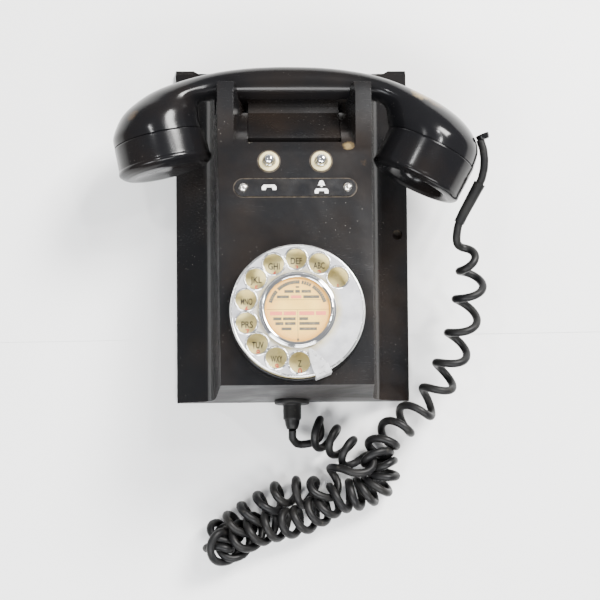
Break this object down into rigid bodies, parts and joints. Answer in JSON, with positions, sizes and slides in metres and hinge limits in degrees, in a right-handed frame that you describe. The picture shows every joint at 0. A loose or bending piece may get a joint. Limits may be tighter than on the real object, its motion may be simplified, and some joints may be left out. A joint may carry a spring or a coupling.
{
  "type": "wall telephone",
  "caption": "Black wall telephone with a rotary dial, a handset across two prongs, push buttons over a label plate, and a curly handset cord.",
  "frame": {"origin": "centre of the back face, on the wall or the surface it lies on", "axes": "+Z out of the front, +Y towards the top of the telephone, +X to the right seen from the front"},
  "size_m": [0.2281, 0.3141, 0.1118],
  "materials": {
    "bakelite": "black Bakelite moulding, gloss, dusty and worn",
    "steel": "zinc plated steel",
    "chrome": "polished plate",
    "nickel_screw": "nickel plated",
    "wheel_metal": "satin aluminium",
    "enamel": "cream enamel, yellowed",
    "card": "printed paper card",
    "window": "clear celluloid",
    "brass": "bright brass",
    "spring_steel": "blued spring steel",
    "gong_metal": "turned bell metal",
    "insulator": "brown laminate",
    "coil_wire": "lacquered wire under tape",
    "label_black": "black engraved plate",
    "bezel_ring": "yellowed ring",
    "cord_rubber": "black rubber sheath",
    "capsule_metal": "pressed metal can"
  },
  "bodies": {
    "housing": {"case": "bakelite", "base_plate": "steel", "case_screws": "nickel_screw", "dial_collar": "bakelite", "dial_frame": "brass", "number_plate": "enamel", "finger_stop": "chrome", "mainspring": "spring_steel", "governor_cup": "brass", "impulse_contacts": "brass", "button_bezels": "bezel_ring", "button_contacts": "brass", "label_plate": "label_black", "label_screws": "nickel_screw", "gongs": "gong_metal", "gong_screws": "nickel_screw", "ringer_frame": "steel", "ringer_coils": "coil_wire", "ringer_magnet": "spring_steel", "induction_coil": "coil_wire", "capacitor": "capsule_metal", "terminal_block": "insulator", "terminal_screws": "brass", "hook_contacts": "brass", "cord_gland": "cord_rubber", "cord_boot": "cord_rubber", "cord_lead_case": "cord_rubber", "curl_first": "cord_rubber", "curl_link": "cord_rubber", "curl_row_upper": "cord_rubber", "curl_row_lower": "cord_rubber", "curl_fan": "cord_rubber", "curl_rise_low": "cord_rubber", "curl_rise_high": "cord_rubber"},
    "rocker": {"cradle_rocker": "bakelite", "rocker_pin": "nickel_screw"},
    "hook": {"hook_lever": "steel"},
    "dial": {"finger_wheel": "wheel_metal", "card_ring": "chrome", "dial_card": "card", "card_window": "window", "dial_shaft": "steel", "main_gear": "brass"},
    "impulse": {"impulse_spindle": "brass"},
    "governor": {"governor_spindle": "brass"},
    "button_left": {"button_left": "chrome"},
    "button_right": {"button_right": "chrome"},
    "clapper": {"clapper": "steel"},
    "handset": {"handset_body": "bakelite", "ear_cap": "bakelite", "mouth_cap": "bakelite", "ear_capsule": "capsule_metal", "mouth_capsule": "capsule_metal", "cord_entry": "cord_rubber", "cord_tail": "cord_rubber", "cord_sleeve": "cord_rubber", "cord_lead_handset": "cord_rubber"}
  },
  "joints": [
    {"name": "handset_lift", "type": "slide", "parent": "housing", "child": "handset", "axis": [0, 1, 0], "range_m": [0, 0.06]},
    {"name": "rocker_turn", "type": "hinge", "parent": "housing", "child": "rocker", "pos_m": [0, 0.0535, 0.0605], "axis": [1, 0, 0], "range_deg": [0, 8]},
    {"name": "hook_turn", "type": "hinge", "parent": "housing", "child": "hook", "pos_m": [0, 0.04, 0.04], "axis": [1, 0, 0], "range_deg": [0, 3]},
    {"name": "dial_turn", "type": "hinge", "parent": "housing", "child": "dial", "pos_m": [0, -0.0529, 0.08865], "axis": [0, 0.1564, 0.9877], "range_deg": [-320, 0], "stiffness_Nm_per_rad": 0.01, "springref_deg": 34.38},
    {"name": "impulse_turn", "type": "hinge", "parent": "housing", "child": "impulse", "pos_m": [-0.01697, -0.04322, 0.08712], "axis": [0, 0.1564, 0.9877], "range_deg": [-1, 1174.33]},
    {"name": "governor_turn", "type": "hinge", "parent": "housing", "child": "governor", "pos_m": [-0.0242, -0.05665, 0.08924], "axis": [0, 0.1564, 0.9877], "range_deg": [-3129.89, 1]},
    {"name": "button_left_press", "type": "slide", "parent": "housing", "child": "button_left", "axis": [0, -0.1564, -0.9877], "range_m": [0, 0.003], "stiffness_N_per_m": 250, "springref_m": -0.002},
    {"name": "button_right_press", "type": "slide", "parent": "housing", "child": "button_right", "axis": [0, -0.1564, -0.9877], "range_m": [0, 0.003], "stiffness_N_per_m": 250, "springref_m": -0.002},
    {"name": "clapper_swing", "type": "hinge", "parent": "housing", "child": "clapper", "pos_m": [0, -0.018, 0.015], "axis": [0, 0, 1], "range_deg": [-2.4, 2.4], "stiffness_Nm_per_rad": 0.002}
  ],
  "couplings": [
    {"joint": "rocker_turn", "follows": "handset_lift", "rad_per_m": 2.298},
    {"joint": "hook_turn", "follows": "handset_lift", "rad_per_m": 0.84358},
    {"joint": "impulse_turn", "follows": "dial_turn", "ratio": -3.6667},
    {"joint": "governor_turn", "follows": "dial_turn", "ratio": 9.7778}
  ]
}
